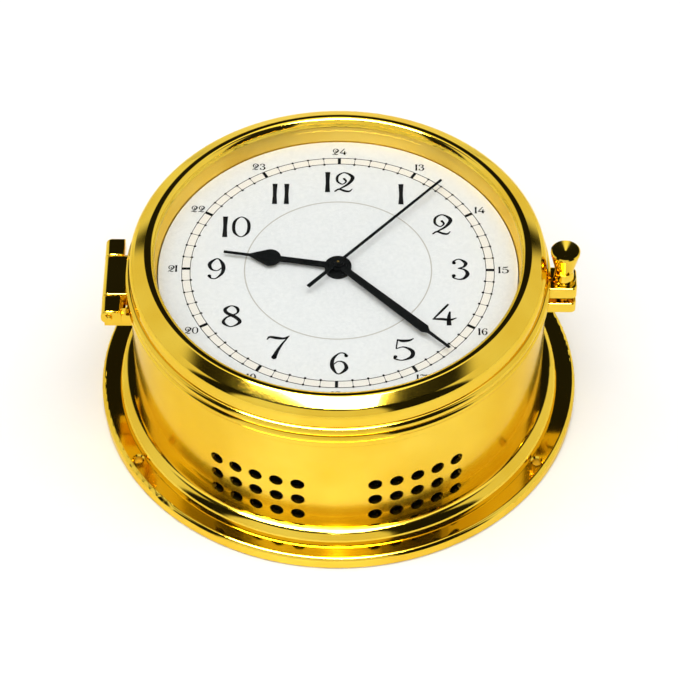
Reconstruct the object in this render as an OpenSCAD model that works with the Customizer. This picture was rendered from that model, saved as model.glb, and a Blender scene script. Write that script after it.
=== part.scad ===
// Marine clock: vented drum case on a mounting flange, hinged bezel with a thumb screw, quartz movement.
// Unit mm. Origin: centre of the back face. +Z out of the dial, +Y to 12 o'clock, +X to 3 o'clock.

/* [Case drum] */
// Outer diameter of the drum
drum_d = 154; // [148:1:164]
// Wall thickness of the drum
drum_wall = 1.6; // [1.2:0.1:2]
// Height of the drum's top edge above the back face
drum_h = 53; // [50:0.5:62]
// Diameter of a vent hole
vent_d = 5.2; // [3:0.1:6]
// Rows of vent holes
vent_rows = 3; // [1:1:4]
// Columns of vent holes on each side of 6 o'clock
vent_columns = 5; // [1:1:7]
// Height of the lowest row of vent holes above the back face
vent_low = 13.8; // [12:0.1:16]
// Height from row to row
vent_row_pitch = 8.4; // [7:0.1:9.5]
// Distance round the drum from column to column
vent_column_pitch = 8; // [7:0.1:9]
// Distance round the drum from 6 o'clock to the first column
vent_start = 14.1; // [6:0.1:20]

/* [Base flange] */
// Width of the flange outside the drum
flange_w = 13; // [12.8:0.1:20]
// Thickness of the flange
flange_t = 4.5; // [3.8:0.1:6]
// Radius of the rounded outer edge
flange_edge_r = 1.7; // [0.5:0.1:1.8]
// Radius of the bead at the foot of the drum
bead_r = 5; // [4:0.1:5]
// Width of the ledge between the drum and the bead
bead_ledge = 1.2; // [0.8:0.1:1.2]
// Distance of the mounting holes from the flange edge
mount_inset = 4.4; // [4.2:0.1:5.5]
// Diameter of a mounting hole
mount_hole_d = 3.4; // [2.5:0.1:3.8]
// Diameter of a mounting hole's countersink
mount_csk_d = 4.6; // [4.2:0.1:4.8]
// Thickness of the lip that the drum stands on
lip_t = 2; // [1.5:0.1:2.3]
// Thickness of the back plate
plate_t = 1.2; // [0.8:0.1:1.4]
// Number of back plate screws
plate_screws = 4; // [3:1:8]
// Diameter of a back plate screw
plate_screw_d = 2.2; // [1.6:0.1:2.6]

/* [Rim and dial carrier] */
// Height of the spigot above the drum's top edge
spigot_h = 3; // [2:0.1:3.4]
// Depth of the rim ring inside the drum
rim_depth = 6; // [4:0.1:10]
// Radial width of the rim ring's ledge
ledge_w = 5.6; // [5:0.1:7]
// Sheet thickness of the dial carrier
carrier_t = 1.2; // [0.8:0.1:1.5]
// Number of carrier screws
carrier_screws_n = 4; // [3:1:8]
// Diameter of a carrier screw
carrier_screw_d = 2.2; // [1.6:0.1:2.4]

/* [Dial] */
// Height of the dial face above the drum's top edge
dial_rise = 9.7; // [9.4:0.1:13]
// Thickness of the dial plate
dial_t = 0.8; // [0.5:0.1:1.2]
// Thickness of the printed track
print_t = 0.06; // [0.04:0.01:0.1]
// Distance of the minute track's outer line from the dial's edge
track_inset = 8.6; // [6:0.1:10]
// Width of the minute track
track_w = 3.3; // [2:0.1:4]
// Width of the track's two lines
line_w = 0.24; // [0.15:0.01:0.5]
// Width of the minute ticks
tick_w = 0.18; // [0.12:0.01:0.4]
// Diameter of the dots where the minute ticks meet the lines
dot_d = 0.7; // [0.4:0.05:1]
// Width of the five-minute bars
bar_w = 1.15; // [0.7:0.05:1.6]

/* [Hands] */
// Length of the hour hand
hour_l = 42.8; // [38:0.1:48]
// Length of the minute hand
minute_l = 57.2; // [50:0.1:59]
// Length of the second hand
second_l = 57.4; // [48:0.1:59]
// Length of the second hand's tail
second_tail = 16.1; // [8:0.1:20]
// Thickness of a hand
hand_t = 0.5; // [0.3:0.05:0.7]
// Clear height between one hand and the next
hand_space = 0.5; // [0.4:0.05:1]
// Width of the hour hand's stem
hour_stem_w = 2.6; // [2:0.1:4]
// Width of the hour hand's leaf
leaf_w = 7.9; // [5:0.1:9]
// Length of the hour hand's leaf
leaf_l = 11.6; // [10:0.1:13]
// Width of the minute hand at its shoulder
minute_w = 3.7; // [2.6:0.1:5]
// Width of a hand's pointed tip where it begins
tip_w = 1.2; // [0.8:0.1:2]
// Width of the second hand
second_w = 1.1; // [0.6:0.05:1.6]
// Hour hand clockwise from 12, degrees
hour_angle = 279.5; // [0:0.5:360]
// Minute hand clockwise from 12, degrees
minute_angle = 135; // [0:0.5:360]
// Second hand clockwise from 12, degrees
second_angle = 42; // [0:0.5:360]

/* [Bezel] */
// Radial width of the bezel from its skirt to the glass opening
bezel_w = 10; // [9.4:0.1:11.4]
// Height of the bezel's plain skirt
skirt_h = 5.2; // [4.6:0.1:5.4]
// Radius of each of the two reeds round the bezel
reed_r = 1.8; // [1.4:0.1:2]
// Distance that the lower reed laps down over the skirt
reed_lap = 2.5; // [1.8:0.1:3]
// Radius of the bezel's rounded outer corner
crown_r = 4.5; // [3.5:0.1:5]
// Fall from the bezel's crest to the top of its rounded outer corner
crown_drop = 1.6; // [1.2:0.1:2.2]
// Radius of the crest round the glass opening
crest_r = 2.6; // [2:0.1:3]
// Height of the crest above the gasket
crest_rise = 3.3; // [2.8:0.1:3.8]
// Thickness of the glass
glass_t = 1.8; // [1.5:0.1:3]
// Thickness of the gasket on the glass
gasket_t = 0.4; // [0.3:0.05:0.8]
// Width of the glass's seat all round
glass_seat = 2.8; // [2:0.1:3.2]
// Thickness of the retaining ring's flange
ring_t = 1.4; // [1:0.1:1.8]
// Number of retaining ring screws
ring_screws_n = 6; // [3:1:8]
// Diameter of a retaining ring screw
ring_screw_d = 1.8; // [1.4:0.1:2.2]

/* [Hinge and clamp] */
// Distance of the hinge axis outside the drum
hinge_out = 6.6; // [6.4:0.1:7.4]
// Half the height of the hinge knuckles
knuckle_r = 3; // [2.6:0.1:3.2]
// Radius of the knuckles' outer edges
knuckle_edge = 2.4; // [1.6:0.1:2.5]
// Diameter of the hinge pin
pin_d = 2.5; // [1.6:0.1:3]
// Length of the hinge
hinge_l = 37.2; // [30:0.2:44]
// Length of the bezel's middle knuckle
knuckle_l = 19.4; // [14:0.2:22]
// Height of the hinge bracket's and clamp lug's foot below the drum's top edge
foot_drop = 7; // [5.5:0.1:10]
// Thickness of the case's clamp lug
case_lug_t = 4.4; // [3:0.1:4.6]
// Distance of the thumb screw's axis outside the drum
clamp_out = 6.2; // [6.1:0.1:6.6]
// Width of the clamp lugs
lug_w = 11.2; // [9:0.1:14]
// Reach of the clamp lugs beyond the thumb screw's axis
lug_end = 4.8; // [4.3:0.1:5.4]
// Radius of the clamp lugs' corners
lug_corner_r = 2; // [0.5:0.1:2.8]
// Diameter of the thumb screw's top
knob_d = 10.8; // [9:0.1:11]
// Height of the thumb screw's head
knob_h = 13.9; // [10:0.1:16]
// Diameter of the thumb screw's waist
knob_waist_d = 6.7; // [5.6:0.1:7.6]
// Diameter of the thumb screw's stem
stem_d = 3.8; // [3:0.1:4.2]
// Thickness of the thumb screw's washer
washer_t = 0.8; // [0.5:0.1:1.2]

/* [Movement] */
// Width and height of the movement
mv_w = 58; // [57:0.5:62]
// Wall thickness of the movement frame
mv_wall = 1.4; // [1:0.1:1.6]
// Inside depth of the movement
mv_depth = 16; // [15.6:0.1:18]
// Thickness of the movement's front plate
mv_front_t = 1.6; // [1.3:0.1:2.4]
// Thickness of the movement cover
cover_t = 1.4; // [1.2:0.1:2]
// Diameter of the threaded bush
bush_d = 8; // [7:0.1:9]
// Thickness of the centre nut
nut_t = 1.2; // [1:0.1:2]
// Diameter of the centre nut
nut_d = 9.8; // [9.6:0.1:12]
// Thickness of the rubber washer behind the dial carrier
rubber_t = 0.5; // [0.3:0.1:1.5]
// Thickness of a wheel
wheel_t = 1; // [0.7:0.05:1.1]
// Gap between the centre wheel's teeth and the wall of the battery bay
train_gap = 0.65; // [0.4:0.05:0.9]
// Module of the pair from intermediate wheel to rotor pinion
rotor_m = 0.3; // [0.295:0.001:0.305]
// Module of the pair from cannon pinion to minute wheel
motion_m = 0.4; // [0.38:0.005:0.41]
// Diameter of the battery cell
cell_d = 14.2; // [13:0.1:14.4]
// Length of the plus contact between the battery cell and the wall
plus_reach = 1.9; // [1:0.1:3]
// Length of the minus contact between the battery cell and the wall
minus_reach = 3.1; // [2:0.1:5]
// Thickness of the circuit board
board_t = 1; // [0.6:0.1:1.6]
// Diameter of the coil winding
coil_d = 5; // [4:0.1:5.4]
// Diameter of the rotor magnet
magnet_d = 5.5; // [4:0.1:5.8]
// Thickness of the stator plate
stator_t = 0.8; // [0.5:0.1:1.2]
// Diameter of the setting knob
setting_d = 11; // [8:0.1:13]
// Height of the setting knob
setting_h = 4; // [3:0.1:6]

/* [Hidden] */
$fn = 96;
eps = 0.01;

// Colours
brass = [0.86, 0.68, 0.22];
white = [0.95, 0.95, 0.93];
black = [0.08, 0.08, 0.08];
steel = [0.72, 0.73, 0.75];
copper = [0.75, 0.42, 0.22];
clear = [0.8, 0.9, 0.95, 0.35];
rubber = [0.15, 0.15, 0.16];
nylon = [0.88, 0.87, 0.8];
board_green = [0.1, 0.4, 0.22];
cell_blue = [0.2, 0.35, 0.6];

// Clearances
run_gap = 0.05;
seam_gap = 0.3;
fit_gap = 0.2;
spigot_gap = 0.9;
spigot_step = 2.4;
dial_gap = 0.5;
ring_step = 0.5;
ring_rise = 1.4;
hand_gap = 0.3;
glass_gap = 0.6;
knuckle_gap = 0.3;
stem_gap = 0.3;
thread_gap = 0.7;
collar_gap = 0.1;
end_gap = 0.3;
arbor_gap = 0.35;
coil_gap = 0.7;
stator_gap = 1.6;
board_gap = 0.6;

// Steps from one radius to the next
plate_step = 2.5;
lip_w = 8;
skirt_over = 0.2;
body_step = 0.4;
dial_over = 1.4;
rubber_w = 6;
reed_in = 0.3;
ring_edge = 0.8;
knuckle_rise = 0.7;

// Radii of case and bezel
drum_r = drum_d / 2;
drum_in = drum_r - drum_wall;
flange_r = drum_r + flange_w;
mount_r = flange_r - mount_inset;
bead_in = drum_r + bead_ledge;
plate_r = drum_r - plate_step;
lip_in = drum_r - lip_w;
plate_screw_r = (lip_in + plate_r) / 2;
spigot_r = drum_r - spigot_step;
ledge_in = spigot_r - ledge_w;
skirt_r = drum_r + skirt_over;
skirt_in = spigot_r + spigot_gap;
body_r = skirt_r - body_step;
opening_r = skirt_r - bezel_w;
ring_in = opening_r - ring_step;
glass_r = opening_r + glass_seat;
pocket_r = glass_r + fit_gap;
ring_r = skirt_in - fit_gap;
ring_screw_r = (pocket_r + ring_r) / 2;
dial_r = ring_in - dial_gap;
carrier_r = dial_r - dial_over;
carrier_flange_r = spigot_r - fit_gap;
carrier_screw_r = (ledge_in + spigot_r) / 2;
track_out = dial_r - track_inset;
track_in = track_out - track_w;

// Heights
z_lip_top = plate_t + lip_t;
z_rim = drum_h + spigot_h;
z_bezel = drum_h + seam_gap;
z_skirt = z_bezel + skirt_h;
z_dial = drum_h + dial_rise;
z_dial_back = z_dial - dial_t;
z_carrier = z_dial_back - carrier_t;
z_nut = z_dial + nut_t;
z_hour = z_nut + hand_gap;
z_minute = z_hour + hand_t + hand_space;
z_second = z_minute + hand_t + hand_space;
boss_h = 0.9;
z_boss = z_second + boss_h;
z_glass = z_boss + glass_gap;
z_gasket = z_glass + glass_t;
z_lip = z_gasket + gasket_t;
z_crest = z_lip + crest_rise;
z_ring = z_rim + carrier_t + ring_rise;
z_step = z_ring + ring_t;
z_flare = z_dial + fit_gap;

// Screws
csk_ratio = 2;
ring_screw_depth = 3.6;
carrier_screw_depth = 4.4;
screw_start = 45;
mount_holes = 3;
mount_start = 90;
reeds = 2;

// Bezel's crest, outer corner and the flank that joins them
crest_at = [opening_r + crest_r, z_crest - crest_r];
corner_at = [body_r - crown_r, z_crest - crown_drop - crown_r];
flank_run = corner_at[0] - crest_at[0];
flank_fall = crest_at[1] - corner_at[1];
flank_l = sqrt(flank_run * flank_run + flank_fall * flank_fall);
flank_lean = atan2(flank_fall, flank_run) - asin((crown_r - crest_r) / flank_l);
flank_out = [sin(flank_lean), cos(flank_lean)];

// Hinge and clamp
hinge_x = -(drum_r + hinge_out);
hinge_z = z_skirt - knuckle_r + knuckle_rise;
pin_r = pin_d / 2;
pin_cut = 0.5;
hinge_half = hinge_l / 2;
knuckle_half = knuckle_l / 2;
z_foot = drum_h - foot_drop;
foot_top_drop = 1.5;
foot_top = drum_h - foot_top_drop;
foot_l = 3.3;
block_reach = 4.3;
leg_reach = 5.6;
clamp_x = drum_r + clamp_out;
stem_r = stem_d / 2;
z_knob = z_skirt + fit_gap + washer_t + collar_gap;
knob_base_over = 1;
knob_base_d = knob_waist_d + knob_base_over;
knob_edge = 1.3;
knob_dish = 1.1;
knob_cut = 0.4;
waist_at = 0.25;
stem_out = 0.8;
washer_over = 1.2;
washer_d = knob_base_d + washer_over;

// Movement: heights
z_front = z_carrier - rubber_t;
z_in_top = z_front - mv_front_t;
z_in_bottom = z_in_top - mv_depth;
z_cover = z_in_bottom - cover_t;
level_pitch = 1.8;
level_drop = 0.6;
z_level_1 = z_in_top - level_drop - wheel_t;
z_level_2 = z_level_1 - level_pitch;
z_level_3 = z_level_2 - level_pitch;
z_level_4 = z_level_3 - level_pitch;
z_level_5 = z_level_4 - level_pitch;
z_level_6 = z_level_5 - level_pitch;

// Movement: teeth
second_teeth = 50;
second_pinion = 8;
third_teeth = 60;
third_pinion = 8;
centre_teeth = 64;
cannon_pinion_n = 12;
minute_teeth = 36;
minute_pinion = 10;
hour_teeth = 40;
setting_pinion = 12;
between_teeth = 48;
between_pinion = 10;
rotor_pinion_n = 8;
tooth_add = 0.8;
tooth_ded = 1.1;
tooth_tip = 0.18;
tooth_root = 0.46;

// Movement: bays
half_w = mv_w / 2;
half_in = half_w - mv_wall;
cell_gap = 0.3;
bay_w = cell_d + 2 * cell_gap;
partition_t = 1;
bay_top = bay_w - half_in;
gear_bay_y = bay_top + partition_t;

// Movement: places of the arbors
arbor_r = 0.5;
pivot_r = 0.35;
pivot_l = 0.8;
stud_r = 0.7;
third_dir = 160;
between_dir = 75;
rotor_dir = 30;
minute_dir = 0;
setting_dir = 30;
centre_tip_r = -gear_bay_y - train_gap;
centre_m = centre_tip_r / (centre_teeth / 2 + tooth_add);
third_cd = centre_m * (third_pinion + centre_teeth) / 2;
train_m = 2 * third_cd / (second_pinion + third_teeth);
between_cd = centre_tip_r + arbor_r + arbor_gap;
second_m = 2 * between_cd / (second_teeth + between_pinion);
rotor_cd = rotor_m * (between_teeth + rotor_pinion_n) / 2;
minute_cd = motion_m * (cannon_pinion_n + minute_teeth) / 2;
hour_m = 2 * minute_cd / (minute_pinion + hour_teeth);
setting_cd = motion_m * (minute_teeth + setting_pinion) / 2;
third_at = polar(third_cd, third_dir);
between_at = polar(between_cd, between_dir);
rotor_at = between_at + polar(rotor_cd, rotor_dir);
minute_at = polar(minute_cd, minute_dir);
setting_at = minute_at + polar(setting_cd, setting_dir);

// Movement: pipes, battery cell and bosses
cannon_r = 1.25;
hour_pipe_r = 2.1;
bush_r = bush_d / 2;
cell_y = bay_top - bay_w / 2;
cell_z = z_in_bottom + mv_depth / 2;
cell_nub_r = 2.6;
cell_nub_l = 1.2;
cell_x0 = minus_reach - half_in;
cell_l = 2 * half_in - minus_reach - plus_reach - cell_nub_l;
contact_t = 0.4;
contact_w = 7;
spring_r = 3.5;
boss_r = 2.2;
boss_inset = 2.4;
cover_screw_d = 1.8;
cover_head_d = 3.4;
cover_head_h = 1;
cover_screw_l = 6;
boss_x = half_in - boss_inset;
boss_y = half_in - boss_inset;
boss_y2 = gear_bay_y + boss_inset;
boss_spots = [[boss_x, boss_y], [-boss_x, boss_y], [boss_x, boss_y2], [-boss_x, boss_y2]];
stem_in_r = 0.9;
z_setting = z_cover - end_gap - setting_h;

// Movement: coil, stator and circuit board
magnet_h = 2.2;
magnet_gap = 0.5;
stator_rise = 0.4;
z_stator = z_level_4 + stator_rise;
z_magnet = z_stator + stator_t / 2 - magnet_h / 2;
stator_half_l = boss_x - boss_r - stator_gap - rotor_at[0];
stator_half_w = 3;
stator_leg_w = 3;
stator_ring = 1;
coil_y = half_in - coil_d / 2 - coil_gap;
core_w = 2;
core_h = 1.6;
z_core = z_stator + stator_t;
flange_over = 0.4;
coil_flange_t = 0.8;
coil_flange_r = coil_d / 2 + flange_over;
coil_half_l = stator_half_l - stator_leg_w - fit_gap;
z_coil = z_core + core_h / 2;
bobbin_wall = 0.4;
post_r = 1.2;
post_inset = 1.6;
board_x = boss_r + board_gap - boss_x;
board_l = 15;
board_w = 10;
board_y = half_in - fit_gap - board_w;
board_leg_h = 1.2;
board_leg_r = 1;
board_leg_inset = 2;
z_board = z_in_bottom + board_leg_h;
chip_w = 4;
chip_h = 0.9;
crystal_r = 1;
crystal_l = 6;
crystal_flat = 0.3;
z_crystal = z_board + board_t + crystal_r - crystal_flat;
chip_inset = 1;
crystal_inset = 2;
tube_r = sqrt(core_w * core_w + core_h * core_h) / 2 + bobbin_wall;

// Movement: turns that bring the teeth into mesh
half_turn = 180;
third_turn = mesh_turn(0, second_pinion, third_teeth, third_dir);
centre_turn = mesh_turn(0, third_pinion, centre_teeth, third_dir + half_turn);
minute_turn = mesh_turn(0, cannon_pinion_n, minute_teeth, minute_dir);
hour_turn = mesh_turn(0, minute_pinion, hour_teeth, minute_dir + half_turn);
setting_turn = mesh_turn(minute_turn, minute_teeth, setting_pinion, setting_dir);
between_turn = mesh_turn(0, second_teeth, between_pinion, between_dir);
rotor_turn = mesh_turn(0, between_teeth, rotor_pinion_n, rotor_dir);

// Dial and hands
minutes = 60;
minutes_per_bar = 5;
nut_slot_w = 1.4;
nut_slot_h = 0.6;
hour_hub_r = 5;
minute_hub_r = 3.2;
second_hub_r = 2.2;
second_boss_r = 1.54;
tip_end_w = 0.9;
leaf_end = 9.8;
minute_tip_l = 10.6;
shoulder_l = 2;
hour_stem_end_w = 2.4;
minute_root_w = 2.5;
second_end_w = 0.8;
tail_w = 1.4;

function polar(r, a) = [r * cos(a), r * sin(a)];

// Turn of a gear (tooth count z2) that meshes with one turned by p1 (tooth count z1) in direction dir
function mesh_turn(p1, z1, z2, dir) = dir + half_turn + (0.5 - (p1 - dir) * z1 / 360) * 360 / z2;

module disc(r, z0, z1) {
    translate([0, 0, z0])
        cylinder(r = r, h = z1 - z0);
}

module at(p) {
    translate([p[0], p[1], 0])
        children();
}

module round_pattern(n, r, start) {
    for (i = [0 : n - 1])
        rotate([0, 0, start + i * 360 / n])
            translate([r, 0, 0])
                children();
}

// Rectangle of a turned profile, from radius r0 to r1 and height z0 to z1
module band(r0, r1, z0, z1) {
    translate([r0, z0])
        square([r1 - r0, z1 - z0]);
}

module gear(teeth, m, turn, z) {
    pitch_r = teeth * m / 2;
    tip_r = pitch_r + tooth_add * m;
    root_r = pitch_r - tooth_ded * m;
    step = 360 / teeth;
    corners = [[root_r, -tooth_root / 2], [tip_r, -tooth_tip / 2],
        [tip_r, tooth_tip / 2], [root_r, tooth_root / 2]];
    rotate([0, 0, turn])
        translate([0, 0, z])
            linear_extrude(wheel_t)
                polygon([for (i = [0 : teeth - 1]) for (c = corners) polar(c[0], (i + c[1]) * step)]);
}

module arbor() {
    disc(arbor_r, z_in_bottom + end_gap, z_in_top - end_gap);
    disc(pivot_r, z_in_bottom - pivot_l, z_in_top + pivot_l);
}

// Countersunk screw with its head flush at height z and its shank going to depth along dir (1 or -1)
module csk_screw(d, z, depth, dir) {
    head_d = d * csk_ratio;
    translate([0, 0, z])
        scale_z(dir) {
            cylinder(d = d, h = depth);
            cylinder(d1 = head_d, d2 = d, h = (head_d - d) / 2);
        }
}

// Hole for a countersunk screw, cut right through from height z to depth
module csk_hole(d, head_d, z, depth, dir) {
    translate([0, 0, z])
        scale_z(dir)
            translate([0, 0, -eps]) {
                cylinder(d = d, h = depth + 2 * eps);
                cylinder(d1 = head_d + 2 * eps, d2 = d, h = (head_d - d) / 2 + eps);
            }
}

module scale_z(dir) {
    mirror([0, 0, dir < 0 ? 1 : 0])
        children();
}

// Case

module flange_profile() {
    band(plate_r + fit_gap, drum_r, 0, z_lip_top);
    band(lip_in, drum_r, plate_t, z_lip_top);
    band(drum_r, flange_r - flange_edge_r, 0, flange_t);
    band(drum_r, flange_r, 0, flange_t - flange_edge_r);
    translate([flange_r - flange_edge_r, flange_t - flange_edge_r])
        circle(r = flange_edge_r);
    band(drum_r, bead_in, flange_t, flange_t + bead_r);
    intersection() {
        translate([bead_in, flange_t])
            circle(r = bead_r);
        band(bead_in, bead_in + bead_r, flange_t, flange_t + bead_r);
    }
}

module base_flange() {
    color(brass)
        difference() {
            rotate_extrude()
                flange_profile();
            round_pattern(mount_holes, mount_r, mount_start)
                csk_hole(mount_hole_d, mount_csk_d, flange_t, flange_t, -1);
            round_pattern(plate_screws, plate_screw_r, screw_start)
                csk_hole(plate_screw_d, plate_screw_d * csk_ratio, 0, z_lip_top, 1);
        }
}

module case_drum() {
    color(brass)
        difference() {
            rotate_extrude()
                band(drum_in, drum_r, z_lip_top, drum_h);
            for (side = [-1, 1])
                for (c = [0 : vent_columns - 1])
                    for (k = [0 : vent_rows - 1])
                        rotate([0, 0, side * (vent_start + c * vent_column_pitch) * 180 / (PI * drum_r)])
                            translate([0, -drum_in + drum_wall, vent_low + k * vent_row_pitch])
                                rotate([90, 0, 0])
                                    cylinder(d = vent_d, h = drum_r - drum_in + 2 * drum_wall);
        }
}

module case_rim() {
    color(brass)
        difference() {
            rotate_extrude() {
                band(ledge_in, drum_in, drum_h - rim_depth, drum_h);
                band(ledge_in, spigot_r, drum_h - rim_depth, z_rim);
            }
            round_pattern(carrier_screws_n, carrier_screw_r, screw_start)
                disc(carrier_screw_d / 2, z_rim + carrier_t - carrier_screw_depth, z_rim + eps);
        }
}

module back_plate() {
    color(steel)
        difference() {
            disc(plate_r, 0, plate_t);
            round_pattern(plate_screws, plate_screw_r, screw_start)
                csk_hole(plate_screw_d, plate_screw_d * csk_ratio, 0, plate_t, 1);
        }
}

module back_plate_screws() {
    color(steel)
        round_pattern(plate_screws, plate_screw_r, screw_start)
            csk_screw(plate_screw_d, 0, z_lip_top, 1);
}

module dial_carrier() {
    color(steel)
        difference() {
            rotate_extrude() {
                band(carrier_r - carrier_t, carrier_flange_r, z_rim, z_rim + carrier_t);
                band(carrier_r - carrier_t, carrier_r, z_rim, z_dial_back);
                band(bush_r + fit_gap, carrier_r, z_carrier, z_dial_back);
            }
            round_pattern(carrier_screws_n, carrier_screw_r, screw_start)
                csk_hole(carrier_screw_d, carrier_screw_d * csk_ratio, z_rim + carrier_t, carrier_t, -1);
        }
}

module carrier_screws() {
    color(steel)
        round_pattern(carrier_screws_n, carrier_screw_r, screw_start)
            csk_screw(carrier_screw_d, z_rim + carrier_t, carrier_screw_depth, -1);
}

module dial_plate() {
    color(white)
        rotate_extrude()
            band(bush_r + fit_gap, dial_r, z_dial_back, z_dial);
}

module dial_track() {
    color(black)
        translate([0, 0, z_dial])
            linear_extrude(print_t)
                track_shape();
}

module track_shape() {
    lines = [track_in, track_out - line_w];
    for (r = lines)
        difference() {
            circle(r = r + line_w);
            circle(r = r);
        }
    for (i = [0 : minutes - 1]) {
        w = i % minutes_per_bar == 0 ? bar_w : tick_w;
        rotate([0, 0, i * 360 / minutes]) {
            translate([track_in + line_w / 2, -w / 2])
                square([track_w - line_w, w]);
            if (i % minutes_per_bar > 0)
                for (r = lines)
                    translate([r + line_w / 2, 0])
                        circle(d = dot_d);
        }
    }
}

// Hinge

module knuckle_bore(r) {
    translate([hinge_x, 0, hinge_z])
        rotate([90, 0, 0])
            cylinder(r = r, h = hinge_l + 2 * eps, center = true);
}

// Side view of a knuckle, from its rounded outer edges to a square end beyond the pin
module knuckle_shape(reach) {
    flat = knuckle_r - knuckle_edge;
    translate([-flat, -knuckle_r])
        square([flat + reach, 2 * knuckle_r]);
    translate([-knuckle_r, -flat])
        square([knuckle_r + reach, 2 * flat]);
    for (side = [-1, 1])
        translate([-flat, side * flat])
            circle(r = knuckle_edge);
}

module knuckle(y0, y1, reach) {
    translate([hinge_x, y1, hinge_z])
        rotate([90, 0, 0])
            linear_extrude(y1 - y0)
                knuckle_shape(reach);
}

module hinge_bracket() {
    inner = knuckle_half + knuckle_gap;
    color(brass)
        difference() {
            union() {
                knuckle(-hinge_half, -inner, block_reach);
                knuckle(inner, hinge_half, block_reach);
                for (y = [-inner - foot_l, inner]) {
                    translate([hinge_x - pin_d, y, z_foot])
                        cube([pin_d + leg_reach, foot_l, hinge_z - knuckle_rise - z_foot]);
                    translate([hinge_x, y, z_foot])
                        cube([hinge_half, foot_l, foot_top - z_foot]);
                }
            }
            knuckle_bore(pin_r);
            disc(drum_r, 0, drum_h);
        }
}

module hinge_pin() {
    half = hinge_half + end_gap;
    color(brass)
        translate([hinge_x, 0, hinge_z])
            rotate([90, 0, 0])
                rotate_extrude()
                    polygon([[0, -half - pin_cut], [pin_r - pin_cut, -half - pin_cut], [pin_r, -half],
                        [pin_r, half], [pin_r - pin_cut, half + pin_cut], [0, half + pin_cut]]);
}

module bezel_knuckle() {
    color(brass)
        difference() {
            knuckle(-knuckle_half, knuckle_half, hinge_half);
            knuckle_bore(pin_r + run_gap);
            bezel_side();
        }
}

// Clamp

module lug_shape() {
    end_x = clamp_x + lug_end;
    translate([0, -lug_w / 2 + lug_corner_r])
        square([end_x, lug_w - 2 * lug_corner_r]);
    translate([0, -lug_w / 2])
        square([end_x - lug_corner_r, lug_w]);
    for (side = [-1, 1])
        translate([end_x - lug_corner_r, side * (lug_w / 2 - lug_corner_r)])
            circle(r = lug_corner_r);
}

module lug(z0, z1, r, bore_r) {
    difference() {
        translate([0, 0, z0])
            linear_extrude(z1 - z0)
                lug_shape();
        disc(r, z0 - eps, z1 + eps);
        translate([clamp_x, 0, 0])
            disc(bore_r, z0 - eps, z1 + eps);
    }
}

module case_clamp_lug() {
    color(brass)
        lug(z_foot, z_foot + case_lug_t, drum_r, stem_r + thread_gap);
}

module bezel_clamp_lug() {
    color(brass)
        difference() {
            lug(z_bezel + seam_gap, z_skirt, skirt_in, stem_r + stem_gap);
            bezel_side();
        }
}

module clamp_washer() {
    color(brass)
        translate([clamp_x, 0, 0])
            difference() {
                disc(washer_d / 2, z_skirt + fit_gap, z_skirt + fit_gap + washer_t);
                disc(stem_r + run_gap, z_skirt, z_knob);
            }
}

module knob_profile() {
    waist_z = z_knob + waist_at * knob_h;
    top_z = z_knob + knob_h;
    polygon([[0, z_knob], [knob_base_d / 2, z_knob], [knob_waist_d / 2, waist_z],
        [knob_d / 2, top_z - knob_edge], [knob_d / 2, top_z - knob_cut],
        [knob_d / 2 - knob_cut, top_z], [0, top_z - knob_dish]]);
    band(0, stem_r, z_foot - stem_out, z_knob);
}

module thumb_screw() {
    color(brass)
        translate([clamp_x, 0, 0])
            rotate_extrude()
                knob_profile();
}

// Bezel

module reed_profile() {
    for (k = [0 : reeds - 1])
        translate([body_r - reed_in, z_skirt - reed_lap + (2 * k + 1) * reed_r])
            circle(r = reed_r);
}

// Room that the bezel takes in the pieces that stand against its side
module bezel_side() {
    rotate_extrude() {
        band(0, skirt_r, 0, z_skirt);
        band(0, body_r, 0, z_crest);
        reed_profile();
    }
}

module bezel_profile() {
    difference() {
        union() {
            band(skirt_in, skirt_r, z_bezel, z_skirt);
            band(pocket_r, body_r, z_step, corner_at[1]);
            band(skirt_in, body_r, z_skirt, corner_at[1]);
            reed_profile();
            translate(crest_at)
                circle(r = crest_r);
            translate(corner_at)
                circle(r = crown_r);
            polygon([[opening_r, corner_at[1]], corner_at, corner_at + crown_r * flank_out,
                crest_at + crest_r * flank_out, crest_at, [opening_r, crest_at[1]]]);
        }
        band(0, pocket_r, z_bezel, z_lip);
        band(0, skirt_in, z_bezel, z_step);
    }
}

module bezel_ring() {
    color(brass)
        difference() {
            rotate_extrude()
                bezel_profile();
            round_pattern(ring_screws_n, ring_screw_r, 0)
                disc(ring_screw_d / 2, z_step - eps, z_ring + ring_screw_depth);
        }
}

module glass_pane() {
    color(clear)
        disc(glass_r, z_glass, z_gasket);
}

module glass_gasket() {
    color(rubber)
        rotate_extrude()
            band(opening_r + ring_step, glass_r, z_gasket, z_lip);
}

// Ring that opens from the dial's edge to the glass
module ring_profile() {
    flare_r = glass_r - ring_edge;
    difference() {
        union() {
            band(ring_in, ring_r, z_ring, z_step);
            band(ring_in, glass_r, z_ring, z_glass);
        }
        polygon([[0, z_flare], [ring_in, z_flare], [flare_r, z_glass], [flare_r, z_glass + eps],
            [0, z_glass + eps]]);
    }
}

module retaining_ring() {
    color(brass)
        difference() {
            rotate_extrude()
                ring_profile();
            round_pattern(ring_screws_n, ring_screw_r, 0)
                csk_hole(ring_screw_d, ring_screw_d * csk_ratio, z_ring, ring_t, 1);
        }
}

module retaining_screws() {
    color(steel)
        round_pattern(ring_screws_n, ring_screw_r, 0)
            csk_screw(ring_screw_d, z_ring, ring_screw_depth, 1);
}

// Movement: fixed pieces

module stator_posts() {
    for (side = [-1, 1])
        at(rotor_at + [side * (stator_half_l - post_inset), -post_inset / 2])
            disc(post_r, z_core, z_in_top);
}

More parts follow.
